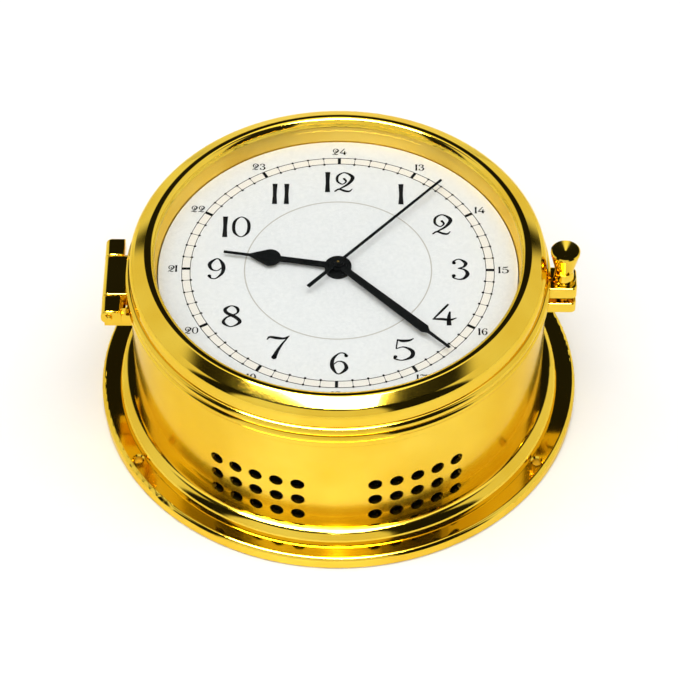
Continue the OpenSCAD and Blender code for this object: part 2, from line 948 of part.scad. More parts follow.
module movement_frame() {
    color(black)
        difference() {
            union() {
                difference() {
                    translate([-half_w, -half_w, z_in_bottom])
                        cube([mv_w, mv_w, z_front - z_in_bottom]);
                    translate([-half_in, -half_in, z_in_bottom - eps])
                        cube([2 * half_in, bay_w, mv_depth + eps]);
                    translate([-half_in, gear_bay_y, z_in_bottom - eps])
                        cube([2 * half_in, half_in - gear_bay_y, mv_depth + eps]);
                }
                disc(bush_r, z_in_top, z_nut);
                for (p = boss_spots)
                    at(p)
                        disc(boss_r, z_in_bottom, z_in_top);
                stator_posts();
                at(minute_at)
                    disc(stud_r, z_level_2 - end_gap, z_in_top);
            }
            disc(hour_pipe_r + run_gap, z_in_top - eps, z_nut + eps);
            for (p = [third_at, between_at, rotor_at, setting_at])
                at(p)
                    disc(pivot_r + run_gap, z_in_top - eps, z_in_top + pivot_l + end_gap);
            for (p = boss_spots)
                at(p)
                    disc(cover_screw_d / 2, z_in_bottom - eps, z_cover + cover_screw_l);
        }
}

module movement_cover() {
    color(black)
        difference() {
            union() {
                translate([-half_w, bay_top, z_cover])
                    cube([mv_w, half_w - bay_top, cover_t]);
                for (dx = [board_leg_inset, board_l - board_leg_inset])
                    at([board_x + dx, board_y + board_w / 2])
                        disc(board_leg_r, z_in_bottom, z_board);
            }
            for (p = [[0, 0], third_at, between_at, rotor_at])
                at(p)
                    disc(pivot_r + run_gap, z_in_bottom - pivot_l - end_gap, z_in_bottom + eps);
            at(setting_at)
                disc(stem_in_r + run_gap, z_cover - eps, z_in_bottom + eps);
            for (p = boss_spots)
                at(p)
                    disc(cover_screw_d / 2, z_cover - eps, z_in_bottom + eps);
        }
}

module cover_screws() {
    color(steel)
        for (p = boss_spots)
            at(p) {
                disc(cover_head_d / 2, z_cover - cover_head_h, z_cover);
                disc(cover_screw_d / 2, z_cover - cover_head_h, z_cover + cover_screw_l);
            }
}

module rubber_washer() {
    color(rubber)
        rotate_extrude()
            band(bush_r + fit_gap, bush_r + rubber_w, z_front, z_carrier);
}

module centre_nut() {
    color(black)
        difference() {
            disc(nut_d / 2, z_dial, z_nut);
            disc(bush_r, z_dial - eps, z_nut + eps);
            translate([-nut_d, -nut_slot_w / 2, z_nut - nut_slot_h])
                cube([2 * nut_d, nut_slot_w, nut_slot_h + eps]);
        }
}

module battery_cell() {
    color(cell_blue)
        translate([cell_x0, cell_y, cell_z])
            rotate([0, 90, 0]) {
                cylinder(d = cell_d, h = cell_l);
                cylinder(r = cell_nub_r, h = cell_l + cell_nub_l);
            }
}

module contact_plate(x) {
    translate([x, cell_y - contact_w / 2, cell_z - contact_w / 2])
        cube([contact_t, contact_w, contact_w]);
}

module plus_contact() {
    nub_x = cell_x0 + cell_l + cell_nub_l;
    color(steel) {
        contact_plate(half_in - contact_t);
        translate([nub_x, cell_y, cell_z])
            rotate([0, 90, 0])
                cylinder(r = cell_nub_r, h = plus_reach);
    }
}

module minus_contact() {
    color(steel) {
        contact_plate(-half_in);
        translate([-half_in, cell_y, cell_z])
            rotate([0, 90, 0])
                cylinder(r1 = spring_r, r2 = cell_nub_r, h = minus_reach);
    }
}

module circuit_board() {
    color(board_green)
        translate([board_x, board_y, z_board])
            cube([board_l, board_w, board_t]);
}

module chip() {
    color(black)
        translate([board_x + board_l - chip_w - chip_inset, board_y + chip_inset, z_board + board_t])
            cube([chip_w, chip_w, chip_h]);
}

module crystal() {
    color(steel)
        intersection() {
            translate([board_x + crystal_inset, board_y + board_w - crystal_inset, z_crystal])
                rotate([0, 90, 0])
                    cylinder(r = crystal_r, h = crystal_l);
            translate([board_x, board_y, z_board + board_t])
                cube([board_l, board_w, 2 * crystal_r]);
        }
}

module coil_core() {
    color(steel)
        translate([rotor_at[0] - stator_half_l, coil_y - core_w / 2, z_core])
            cube([2 * stator_half_l, core_w, core_h]);
}

module along_coil(x0, x1, r) {
    translate([rotor_at[0] + x0, coil_y, z_coil])
        rotate([0, 90, 0])
            cylinder(r = r, h = x1 - x0);
}

module coil_tube(r) {
    along_coil(-coil_half_l + coil_flange_t, coil_half_l - coil_flange_t, r);
}

module coil_bobbin() {
    color(nylon)
        difference() {
            union() {
                along_coil(-coil_half_l, -coil_half_l + coil_flange_t, coil_flange_r);
                along_coil(coil_half_l - coil_flange_t, coil_half_l, coil_flange_r);
                along_coil(-coil_half_l, coil_half_l, tube_r);
            }
            coil_core();
        }
}

module coil_winding() {
    color(copper)
        difference() {
            coil_tube(coil_d / 2);
            along_coil(-coil_half_l, coil_half_l, tube_r);
        }
}

module stator() {
    color(steel)
        translate([rotor_at[0], rotor_at[1], z_stator])
            linear_extrude(stator_t)
                difference() {
                    union() {
                        translate([-stator_half_l, -stator_half_w])
                            square([2 * stator_half_l, 2 * stator_half_w]);
                        circle(r = magnet_d / 2 + magnet_gap + stator_ring);
                        for (x = [-stator_half_l, stator_half_l - stator_leg_w])
                            translate([x, 0])
                                square([stator_leg_w, coil_y + core_w / 2 - rotor_at[1]]);
                    }
                    circle(r = magnet_d / 2 + magnet_gap);
                }
}

// Movement: turning pieces

module rotor_magnet() {
    color(steel)
        at(rotor_at)
            difference() {
                disc(magnet_d / 2, z_magnet, z_magnet + magnet_h);
                disc(arbor_r, z_magnet - eps, z_magnet + magnet_h + eps);
            }
}

module rotor_pinion() {
    color(nylon)
        at(rotor_at) {
            gear(rotor_pinion_n, rotor_m, rotor_turn, z_level_6);
            arbor();
        }
}

module intermediate_wheel() {
    color(nylon)
        at(between_at) {
            gear(between_teeth, rotor_m, 0, z_level_6);
            gear(between_pinion, second_m, between_turn, z_level_5);
            arbor();
        }
}

module second_wheel() {
    color(brass) {
        gear(second_teeth, second_m, 0, z_level_5);
        gear(second_pinion, train_m, 0, z_level_4);
        disc(arbor_r, z_in_bottom + end_gap, z_boss);
        disc(pivot_r, z_in_bottom - pivot_l, z_level_5);
    }
}

module third_wheel() {
    color(nylon)
        at(third_at) {
            gear(third_teeth, train_m, third_turn, z_level_4);
            gear(third_pinion, centre_m, 0, z_level_3);
            arbor();
        }
}

module centre_wheel() {
    color(nylon)
        difference() {
            gear(centre_teeth, centre_m, centre_turn, z_level_3);
            disc(cannon_r, z_level_3 - eps, z_level_3 + wheel_t + eps);
        }
}

module cannon_pinion() {
    color(brass)
        difference() {
            union() {
                gear(cannon_pinion_n, motion_m, 0, z_level_2);
                disc(cannon_r, z_level_3, z_minute + hand_t);
            }
            disc(arbor_r + run_gap, z_level_3 - eps, z_minute + hand_t + eps);
        }
}

module minute_wheel() {
    color(nylon)
        at(minute_at)
            difference() {
                union() {
                    gear(minute_teeth, motion_m, minute_turn, z_level_2);
                    gear(minute_pinion, hour_m, 0, z_level_1);
                    disc(stud_r + end_gap, z_level_2, z_level_1 + wheel_t);
                }
                disc(stud_r + run_gap, z_level_2 - eps, z_level_1 + wheel_t + eps);
            }
}

module hour_wheel() {
    color(nylon)
        difference() {
            union() {
                gear(hour_teeth, hour_m, hour_turn, z_level_1);
                disc(hour_pipe_r, z_level_1, z_hour + hand_t);
            }
            disc(cannon_r + run_gap, z_level_1 - eps, z_hour + hand_t + eps);
        }
}

module setting_stem() {
    color(nylon)
        at(setting_at) {
            gear(setting_pinion, motion_m, setting_turn, z_level_2);
            disc(stem_in_r, z_setting, z_in_top - end_gap);
            disc(pivot_r, z_level_2, z_in_top + pivot_l);
        }
}

module setting_knob() {
    color(black)
        at(setting_at)
            difference() {
                disc(setting_d / 2, z_setting, z_setting + setting_h);
                disc(stem_in_r, z_setting - eps, z_setting + setting_h + eps);
            }
}

// Hands, drawn pointing to 12 and turned to their places

module hand(angle, z, bore_r) {
    rotate([0, 0, -angle])
        translate([0, 0, z])
            linear_extrude(hand_t)
                difference() {
                    children();
                    circle(r = bore_r);
                }
}

module taper(y0, y1, w0, w1) {
    polygon([[-w0 / 2, y0], [w0 / 2, y0], [w1 / 2, y1], [-w1 / 2, y1]]);
}

module hour_hand() {
    leaf_r = leaf_w / 2;
    leaf_tip = hour_l - leaf_end;
    leaf_y = leaf_tip - leaf_l + leaf_r;
    lean = asin((leaf_r - tip_w / 2) / (leaf_l - leaf_r));
    color(black)
        hand(hour_angle, z_hour, hour_pipe_r) {
            circle(r = hour_hub_r);
            taper(0, leaf_y, hour_stem_w, hour_stem_end_w);
            translate([0, leaf_y])
                circle(r = leaf_r);
            taper(leaf_y + leaf_r * sin(lean), leaf_tip, leaf_w * cos(lean), tip_w);
            taper(leaf_y, hour_l, tip_w, tip_end_w);
        }
}

module minute_hand() {
    tip_y = minute_l - minute_tip_l;
    color(black)
        hand(minute_angle, z_minute, cannon_r) {
            circle(r = minute_hub_r);
            taper(0, tip_y - shoulder_l, minute_root_w, minute_w);
            taper(tip_y - shoulder_l, tip_y, minute_w, tip_w);
            taper(tip_y - shoulder_l, minute_l, tip_w, tip_end_w);
        }
}

module second_hand() {
    color(black) {
        hand(second_angle, z_second, arbor_r) {
            circle(r = second_hub_r);
            taper(-second_tail, 0, tail_w, second_w);
            taper(0, second_l, second_w, second_end_w);
        }
        difference() {
            disc(second_boss_r, z_second, z_boss);
            disc(arbor_r, z_second - eps, z_boss + eps);
        }
    }
}

base_flange();
case_drum();
case_rim();
back_plate();
back_plate_screws();
dial_carrier();
carrier_screws();
dial_plate();
dial_track();
hinge_bracket();
hinge_pin();
case_clamp_lug();
bezel_ring();
glass_pane();
glass_gasket();
retaining_ring();
retaining_screws();
bezel_knuckle();
bezel_clamp_lug();
clamp_washer();
thumb_screw();
movement_frame();
movement_cover();
cover_screws();
rubber_washer();
centre_nut();
battery_cell();
plus_contact();
minus_contact();
circuit_board();
chip();
crystal();
coil_bobbin();
coil_winding();
coil_core();
stator();
rotor_magnet();
rotor_pinion();
intermediate_wheel();
second_wheel();
third_wheel();
centre_wheel();
cannon_pinion();
minute_wheel();
hour_wheel();
setting_stem();
setting_knob();
hour_hand();
minute_hand();
second_hand();
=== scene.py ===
"""Marine clock: finishes, softened pieces, dial print, camera and studio light round the CAD frame."""

import math
from collections import Counter

import bmesh
import bpy
from mathutils import Matrix, Vector


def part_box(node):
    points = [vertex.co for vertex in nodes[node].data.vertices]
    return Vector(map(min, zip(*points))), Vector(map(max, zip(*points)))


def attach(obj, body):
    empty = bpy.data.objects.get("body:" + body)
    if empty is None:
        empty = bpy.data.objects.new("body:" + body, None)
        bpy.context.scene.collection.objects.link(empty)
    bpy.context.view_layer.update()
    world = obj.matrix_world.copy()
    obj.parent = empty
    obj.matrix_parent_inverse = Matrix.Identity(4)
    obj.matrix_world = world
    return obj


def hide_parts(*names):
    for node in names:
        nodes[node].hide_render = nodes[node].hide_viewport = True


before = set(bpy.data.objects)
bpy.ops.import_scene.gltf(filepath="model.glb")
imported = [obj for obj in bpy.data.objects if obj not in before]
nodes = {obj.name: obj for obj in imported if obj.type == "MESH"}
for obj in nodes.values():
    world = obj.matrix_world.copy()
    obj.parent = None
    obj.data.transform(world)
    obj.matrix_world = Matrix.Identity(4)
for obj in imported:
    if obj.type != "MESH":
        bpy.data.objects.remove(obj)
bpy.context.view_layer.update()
scene = bpy.context.scene

MM = 0.001
IMAGE_SIZE = 680

# Camera, fitted to the dial's minute bars, the vent holes and the outline of the flange
CAMERA_TARGET = Vector((0, 0, 0.035))
CAMERA_DISTANCE = 1.2143
CAMERA_AZIMUTH = math.radians(0.735)
CAMERA_ELEVATION = math.radians(48.04)
CAMERA_ROLL = math.radians(-0.27)
CAMERA_FOCAL_PIXELS = 3244.75
TARGET_PIXEL = (338.24, 319.70)
SENSOR_MM = 36
CLIP_START = 0.05
CLIP_END = 50


def make_camera():
    """Camera at the photograph's viewing angle, with the frame shifted to the photograph's framing."""
    data = bpy.data.cameras.new("camera")
    data.sensor_width = SENSOR_MM
    data.lens = CAMERA_FOCAL_PIXELS * SENSOR_MM / IMAGE_SIZE
    data.shift_x = (IMAGE_SIZE / 2 - TARGET_PIXEL[0]) / IMAGE_SIZE
    data.shift_y = (TARGET_PIXEL[1] - IMAGE_SIZE / 2) / IMAGE_SIZE
    data.clip_start = CLIP_START
    data.clip_end = CLIP_END
    camera = bpy.data.objects.new("camera", data)
    scene.collection.objects.link(camera)
    flat = math.cos(CAMERA_ELEVATION)
    back = Vector((math.sin(CAMERA_AZIMUTH) * flat, -math.cos(CAMERA_AZIMUTH) * flat,
                   math.sin(CAMERA_ELEVATION)))
    turn = (-back).to_track_quat("-Z", "Y").to_matrix().to_4x4()
    place = Matrix.Translation(CAMERA_TARGET + back * CAMERA_DISTANCE)
    camera.matrix_world = place @ turn @ Matrix.Rotation(CAMERA_ROLL, 4, "Z")
    scene.camera = camera


make_camera()


# Shader helpers

class Nodes:
    """A node tree under construction, with short calls for the nodes that the looks use."""

    def __init__(self, tree):
        self.tree = tree

    def add(self, kind, **settings):
        node = self.tree.nodes.new(kind)
        for key, value in settings.items():
            setattr(node, key, value)
        return node

    def link(self, source, target):
        self.tree.links.new(source, target)

    def math(self, operation, a, b=None):
        """Result of a sum on sockets or numbers."""
        node = self.add("ShaderNodeMath", operation=operation)
        for socket, value in zip(node.inputs, (a, b)):
            if isinstance(value, (int, float)):
                socket.default_value = value
            elif value is not None:
                self.link(value, socket)
        return node.outputs[0]

    def span(self, value, low, high, out_low=0, out_high=1, curve="LINEAR"):
        """Value carried from one range to another, and held at the ends."""
        node = self.add("ShaderNodeMapRange", interpolation_type=curve)
        self.link(value, node.inputs["Value"])
        ends = {"From Min": low, "From Max": high, "To Min": out_low, "To Max": out_high}
        for key, number in ends.items():
            node.inputs[key].default_value = number
        return node.outputs["Result"]

    def level(self, vector):
        """A vector without its upright part."""
        node = self.add("ShaderNodeVectorMath", operation="MULTIPLY")
        node.inputs[1].default_value = (1, 1, 0)
        self.link(vector, node.inputs[0])
        return node.outputs[0]

    def upright(self, vector):
        """The upright part of a vector."""
        split = self.add("ShaderNodeSeparateXYZ")
        self.link(vector, split.inputs[0])
        return split.outputs["Z"]


class Shader(Nodes):
    """A material under construction, round its principled shader."""

    def __init__(self, name):
        self.material = bpy.data.materials.new(name)
        self.material.use_nodes = True
        super().__init__(self.material.node_tree)
        self.bsdf = self.tree.nodes["Principled BSDF"]
        self.place = self.add("ShaderNodeTexCoord").outputs["Object"]

    def set(self, **values):
        """Values that are the same all over the material, by the names of their sockets."""
        for key, value in values.items():
            self.bsdf.inputs[key.replace("_", " ")].default_value = value

    def noise(self, scale, detail, w=None):
        """Noise in space, or along one value."""
        node = self.add("ShaderNodeTexNoise")
        if w is None:
            self.link(self.place, node.inputs["Vector"])
        else:
            node.noise_dimensions = "1D"
            self.link(w, node.inputs["W"])
        node.inputs["Scale"].default_value = scale
        node.inputs["Detail"].default_value = detail
        return node.outputs[0]

    def mix(self, factor, a, b):
        """Colour between two colours or sockets."""
        node = self.add("ShaderNodeMix", data_type="RGBA")
        self.link(factor, node.inputs["Factor"])
        for socket, colour in ((node.inputs["A"], a), (node.inputs["B"], b)):
            if isinstance(colour, tuple):
                socket.default_value = (*colour, 1)
            else:
                self.link(colour, socket)
        return node.outputs["Result"]

    def bump(self, height, strength, distance):
        node = self.add("ShaderNodeBump")
        node.inputs["Strength"].default_value = strength
        node.inputs["Distance"].default_value = distance
        self.link(height, node.inputs["Height"])
        self.link(node.outputs["Normal"], self.bsdf.inputs["Normal"])

    def radius(self):
        """Distance from the upright axis of the piece's coordinates."""
        length = self.add("ShaderNodeVectorMath", operation="LENGTH")
        self.link(self.level(self.place), length.inputs[0])
        return length.outputs["Value"]

    def height(self):
        """Height in the piece's coordinates."""
        return self.upright(self.place)

    def colour(self, socket):
        self.link(socket, self.bsdf.inputs["Base Color"])

    def roughness(self, socket):
        self.link(socket, self.bsdf.inputs["Roughness"])


# Materials

# Part of a noise's range that a look follows, for soft clouds and for a finer grain
CLOUDS = (0.35, 0.65)
GRAIN = (0.3, 0.7)

BRASS_LIGHT = (0.86, 0.60, 0.055)
BRASS_DEEP = (0.77, 0.49, 0.025)
BRASS_EDGE = (1.0, 0.87, 0.42, 1)
PALE_LIGHT = (0.97, 0.68, 0.12)
PALE_DEEP = (0.90, 0.58, 0.07)
BRASS_CLOUD = 28
BRASS_FINE = 2600
TURNING_MARKS = 9000
TURNING_SLOPE = 1.7
FINE_SHARE = 0.5
METAL_DEPTH = 0.02 * MM


def brass(name, rough_low, rough_high, grain, light=BRASS_LIGHT, deep=BRASS_DEEP):
    """Lacquered brass with turning marks round the clock's axis and a faint cloudiness."""
    shader = Shader(name)
    shader.set(Metallic=1.0, Specular_Tint=BRASS_EDGE, Coat_Weight=0.25, Coat_Roughness=0.04)
    cloud = shader.noise(BRASS_CLOUD, 3)
    shader.colour(shader.mix(shader.span(cloud, *CLOUDS), light, deep))
    turned = shader.math("ADD", shader.radius(), shader.math("MULTIPLY", shader.height(), TURNING_SLOPE))
    marks = shader.noise(TURNING_MARKS, 2, w=turned)
    fine = shader.noise(BRASS_FINE, 2)
    shader.roughness(shader.span(fine, *GRAIN, rough_low, rough_high))
    shader.bump(shader.math("ADD", marks, shader.math("MULTIPLY", fine, FINE_SHARE)), grain, METAL_DEPTH)
    return shader.material


METAL_CLOUD = 160
METAL_FINE = 4000
METAL_GRAIN = 0.08
METAL_RANGE = (0.8, 1.3)


def metal(name, colour, shade, roughness):
    """Plated or turned small metal pieces."""
    shader = Shader(name)
    shader.set(Metallic=1.0)
    cloud = shader.noise(METAL_CLOUD, 3)
    shader.colour(shader.mix(shader.span(cloud, *CLOUDS), colour, shade))
    fine = shader.noise(METAL_FINE, 2)
    shader.roughness(shader.span(fine, *GRAIN, *(roughness * share for share in METAL_RANGE)))
    shader.bump(fine, METAL_GRAIN, METAL_DEPTH)
    return shader.material


COATED_GRAIN = 0.3
COATED_RANGE = (0.85, 1.15)


def coated(name, colour, shade, roughness, scale, depth, gloss=0.5):
    """Painted, moulded or printed surfaces with a fine grain."""
    shader = Shader(name)
    shader.set(Specular_IOR_Level=gloss)
    grain = shader.noise(scale, 3)
    shader.colour(shader.mix(shader.span(grain, *GRAIN), colour, shade))
    shader.roughness(shader.span(grain, *GRAIN, *(roughness * share for share in COATED_RANGE)))
    shader.bump(grain, COATED_GRAIN, depth)
    return shader.material


TRACK_IN = 54.2 * MM
TRACK_OUT = 57.4 * MM
TRACK_EDGE = 0.15 * MM
TRACK_TINT = (0.84, 0.80, 0.73)
DIAL_LIGHT = (0.81, 0.815, 0.805)
DIAL_SHADE = (0.74, 0.75, 0.745)
DIAL_ROUGH = (0.5, 0.62)
DIAL_TOOTH = 900
DIAL_GRAIN = 0.15
DIAL_DEPTH = 0.03 * MM


def dial_face():
    """Matt enamel with a fine tooth, and a warmer band under the minute track."""
    shader = Shader("dial_face")
    shader.set(Specular_IOR_Level=0.3)
    middle = (TRACK_IN + TRACK_OUT) / 2
    half = (TRACK_OUT - TRACK_IN) / 2
    off = shader.math("ABSOLUTE", shader.math("SUBTRACT", shader.radius(), middle))
    band = shader.span(off, half - TRACK_EDGE, half + TRACK_EDGE, 1, 0)
    tooth = shader.noise(DIAL_TOOTH, 3)
    base = shader.mix(shader.span(tooth, *GRAIN), DIAL_LIGHT, DIAL_SHADE)
    shader.colour(shader.mix(band, base, TRACK_TINT))
    shader.roughness(shader.span(tooth, *GRAIN, *DIAL_ROUGH))
    shader.bump(tooth, DIAL_GRAIN, DIAL_DEPTH)
    return shader.material


GLASS_TINT = (0.985, 0.99, 0.988, 1)
GLASS_IOR = 1.45
GLASS_SMEAR = 60
GLASS_ROUGH = (0.0, 0.02)


def clear_glass():
    """Flat pane that lets lamps through and mirrors a little more at a low angle."""
    shader = Shader("clear_glass")
    shader.set(Base_Color=(1, 1, 1, 1), Metallic=1.0)
    shader.roughness(shader.span(shader.noise(GLASS_SMEAR, 3), *GRAIN, *GLASS_ROUGH))
    clear = shader.add("ShaderNodeBsdfTransparent")
    clear.inputs["Color"].default_value = GLASS_TINT
    edge = shader.add("ShaderNodeFresnel")
    edge.inputs["IOR"].default_value = GLASS_IOR
    front = shader.math("SUBTRACT", 1.0, shader.add("ShaderNodeNewGeometry").outputs["Backfacing"])
    both = shader.add("ShaderNodeMixShader")
    shader.link(shader.math("MULTIPLY", edge.outputs[0], front), both.inputs[0])
    shader.link(clear.outputs[0], both.inputs[1])
    shader.link(shader.bsdf.outputs[0], both.inputs[2])
    shader.link(both.outputs[0], shader.tree.nodes["Material Output"].inputs["Surface"])
    return shader.material


COPPER_LIGHT = (0.55, 0.23, 0.09)
COPPER_DEEP = (0.30, 0.10, 0.04)
WIRE_SCALE = 1800
WIRE_GRAIN = 0.6
WIRE_DEPTH = 0.05 * MM


def wound_wire():
    """Enamelled copper wire wound along the coil."""
    shader = Shader("wound_wire")
    shader.set(Metallic=0.7, Roughness=0.35)
    wave = shader.add("ShaderNodeTexWave", bands_direction="X")
    shader.link(shader.place, wave.inputs["Vector"])
    wave.inputs["Scale"].default_value = WIRE_SCALE
    shader.colour(shader.mix(wave.outputs["Fac"], COPPER_LIGHT, COPPER_DEEP))
    shader.bump(wave.outputs["Fac"], WIRE_GRAIN, WIRE_DEPTH)
    return shader.material


POLISHED = brass("polished_brass", 0.05, 0.10, 0.03)
SATIN = brass("satin_brass", 0.14, 0.22, 0.06)
MATT = brass("matt_brass", 0.36, 0.44, 0.08, PALE_LIGHT, PALE_DEEP)
TURNED = metal("turned_brass", (0.78, 0.54, 0.18), (0.66, 0.43, 0.12), 0.25)
STEEL = metal("plated_steel", (0.62, 0.63, 0.65), (0.57, 0.58, 0.60), 0.3)
INK = coated("dial_ink", (0.004, 0.004, 0.004), (0.009, 0.009, 0.009), 0.7, 1500, 0.01 * MM, 0.05)
GREY_INK = coated("grey_ink", (0.46, 0.44, 0.39), (0.54, 0.51, 0.45), 0.7, 1500, 0.01 * MM)
BLACK_PAINT = coated("black_paint", (0.003, 0.004, 0.004), (0.007, 0.008, 0.008), 0.35, 1200, 0.02 * MM, 0.1)
RUBBER = coated("rubber", (0.02, 0.02, 0.02), (0.035, 0.035, 0.035), 0.8, 700, 0.05 * MM)
BLACK_PLASTIC = coated("black_plastic", (0.018, 0.018, 0.019), (0.028, 0.028, 0.03), 0.45, 800, 0.04 * MM)
NYLON = coated("nylon", (0.80, 0.78, 0.68), (0.72, 0.70, 0.60), 0.4, 500, 0.03 * MM)
CELL_WRAP = coated("cell_wrap", (0.06, 0.13, 0.32), (0.05, 0.11, 0.27), 0.25, 300, 0.02 * MM)
BOARD = coated("circuit_board", (0.02, 0.16, 0.07), (0.03, 0.20, 0.09), 0.4, 600, 0.03 * MM)
GLASS = clear_glass()
DIAL = dial_face()
WIRE = wound_wire()

FINISHES = {
    "base_flange": POLISHED, "case_drum": SATIN, "case_rim": SATIN, "hinge_bracket": POLISHED,
    "hinge_pin": POLISHED, "case_clamp_lug": POLISHED, "bezel_ring": POLISHED,
    "retaining_ring": MATT, "bezel_knuckle": POLISHED, "bezel_clamp_lug": POLISHED,
    "clamp_washer": POLISHED, "thumb_screw": POLISHED,
    "second_wheel": TURNED, "cannon_pinion": TURNED,
    "back_plate": STEEL, "back_plate_screws": STEEL, "dial_carrier": STEEL, "carrier_screws": STEEL,
    "retaining_screws": STEEL, "cover_screws": STEEL, "plus_contact": STEEL, "minus_contact": STEEL,
    "crystal": STEEL, "coil_core": STEEL, "stator": STEEL, "rotor_magnet": STEEL,
    "dial_plate": DIAL, "dial_track": INK,
    "hour_hand": BLACK_PAINT, "minute_hand": BLACK_PAINT, "second_hand": BLACK_PAINT,
    "centre_nut": BLACK_PAINT,
    "glass_pane": GLASS, "glass_gasket": RUBBER, "rubber_washer": RUBBER,
    "movement_frame": BLACK_PLASTIC, "movement_cover": BLACK_PLASTIC, "setting_knob": BLACK_PLASTIC,
    "chip": BLACK_PLASTIC,
    "rotor_pinion": NYLON, "intermediate_wheel": NYLON, "third_wheel": NYLON, "centre_wheel": NYLON,
    "minute_wheel": NYLON, "hour_wheel": NYLON, "setting_stem": NYLON, "coil_bobbin": NYLON,
    "battery_cell": CELL_WRAP, "circuit_board": BOARD, "coil_winding": WIRE,
}

for node_name, node in nodes.items():
    node.data.materials.clear()
    node.data.materials.append(FINISHES[node_name])


def add_object(shape, name, material):
    """Object made from a bmesh, which it uses up."""
    data = bpy.data.meshes.new(name)
    shape.to_mesh(data)
    shape.free()
    data.materials.append(material)
    piece = bpy.data.objects.new(name, data)
    scene.collection.objects.link(piece)
    return piece


# Pieces that stand for CAD pieces: broken edges of the hinge and the clamp, and an evenly turned bezel

EDGE_ANGLE = math.radians(40)


def stand_in(solid, name, ending, body):
    """Brass piece made from a solid, which stands for a CAD piece."""
    piece = add_object(solid, name + ending, FINISHES[name])
    piece.data.shade_smooth()
    piece.data.set_sharp_from_angle(angle=EDGE_ANGLE)
    piece.modifiers.new("flat_faces", "WEIGHTED_NORMAL").keep_sharp = True
    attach(piece, body)
    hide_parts(name)


# Points of the CAD mesh nearer than this share a ring, and a ring of fewer points isn't turned
RING_GAP = 0.02 * MM
RING_MIN = 100
TURN_STEPS = 240


def rings_of(mesh):
    """Radius and height of the ring that each point of a turned mesh lies on."""
    rings = []
    ring_of = []
    for vert in mesh.vertices:
        place = (vert.co.xy.length, vert.co.z)
        ring = next((known for known in rings if math.dist(known, place) < RING_GAP), place)
        if ring is place:
            rings.append(place)
        ring_of.append(ring)
    return ring_of


def section_of(mesh):
    """Corners of a turned piece's section, in order round it, or none if its rings can't be followed."""
    ring_of = rings_of(mesh)
    beside = {ring: set() for ring, count in Counter(ring_of).items() if count > RING_MIN}
    for edge in mesh.edges:
        first, second = (ring_of[index] for index in edge.vertices)
        if first != second and first in beside and second in beside:
            beside[first].add(second)
            beside[second].add(first)
    corners = sorted(beside)[-1:]
    while corners and (ahead := beside[corners[-1]].difference(corners)):
        corners.append(min(ahead, key=lambda ring: math.dist(ring, corners[-1])))
    return corners if len(corners) == len(beside) else []


def turn_again(name, body):
    """Copy of a turned CAD piece, without holes, in even steps so that its reflections run smoothly."""
    corners = section_of(nodes[name].data)
    if not corners:
        return
    solid = bmesh.new()
    rings = []
    for step in range(TURN_STEPS):
        turn = Matrix.Rotation(math.tau * step / TURN_STEPS, 3, "Z")
        rings.append([solid.verts.new(turn @ Vector((radius, 0, height))) for radius, height in corners])
    for step, ring in enumerate(rings):
        after = rings[(step + 1) % TURN_STEPS]
        for index in range(len(corners)):
            solid.faces.new((ring[index - 1], ring[index], after[index], after[index - 1]))
    bmesh.ops.recalc_face_normals(solid, faces=solid.faces)
    stand_in(solid, name, "_turned", body)


EDGE_ROUND = 0.7 * MM
EDGE_DEPTH = 2.2 * MM
EDGE_SEGMENTS = 3
BODY_CLEAR = 78.6 * MM
WELD = 0.002 * MM
FLAT = math.radians(0.5)


def is_worn(edge, level):
    """Sharp, near the top of its piece and clear of the round body that the piece sits on."""
    ends = [vert.co for vert in edge.verts]
    return (edge.is_manifold and edge.calc_face_angle() > EDGE_ANGLE
            and all(end.z > level for end in ends) and (ends[0] + ends[1]).xy.length / 2 > BODY_CLEAR)


def break_edges(name, body):
    """Copy of a CAD piece with the sharp edges of its top rounded."""
    solid = bmesh.new()
    solid.from_mesh(nodes[name].data)
    bmesh.ops.remove_doubles(solid, verts=solid.verts, dist=WELD)
    bmesh.ops.dissolve_limit(solid, angle_limit=FLAT, verts=solid.verts, edges=solid.edges)
    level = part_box(name)[1].z - EDGE_DEPTH
    worn = [edge for edge in solid.edges if is_worn(edge, level)]
    bmesh.ops.bevel(solid, geom=worn, offset=EDGE_ROUND, segments=EDGE_SEGMENTS, profile=0.5,
                    affect="EDGES", clamp_overlap=False)
    bmesh.ops.remove_doubles(solid, verts=solid.verts, dist=WELD)
    stand_in(solid, name, "_soft_edges", body)


for part_name, body_name in (("hinge_bracket", "case"), ("bezel_knuckle", "bezel"),
                             ("case_clamp_lug", "case"), ("bezel_clamp_lug", "bezel")):
    break_edges(part_name, body_name)
turn_again("bezel_ring", "bezel")


# Dial print

PRINT_LIFT = 0.01 * MM
PRINT_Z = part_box("dial_track")[1].z + PRINT_LIFT
NUMERAL_H = 10.6 * MM
NUMERAL_R = 44.8 * MM
SMALL_H = 3.3 * MM
SMALL_R = 60.9 * MM
SMALL_WEIGHT = 1.3
CIRCLE_R = 34.4 * MM
CIRCLE_W = 0.45 * MM
CIRCLE_SIDES = 240
MINUTE_DOT_R = 0.46 * MM
DOT_SIDES = 24
# Steps between two points of a stroke, its least half width, and the dots at the ends of a long one
STEPS = 10
HAIRLINE = 0.022
DOT_SHARE = 1.1
LONG_STROKE = 4

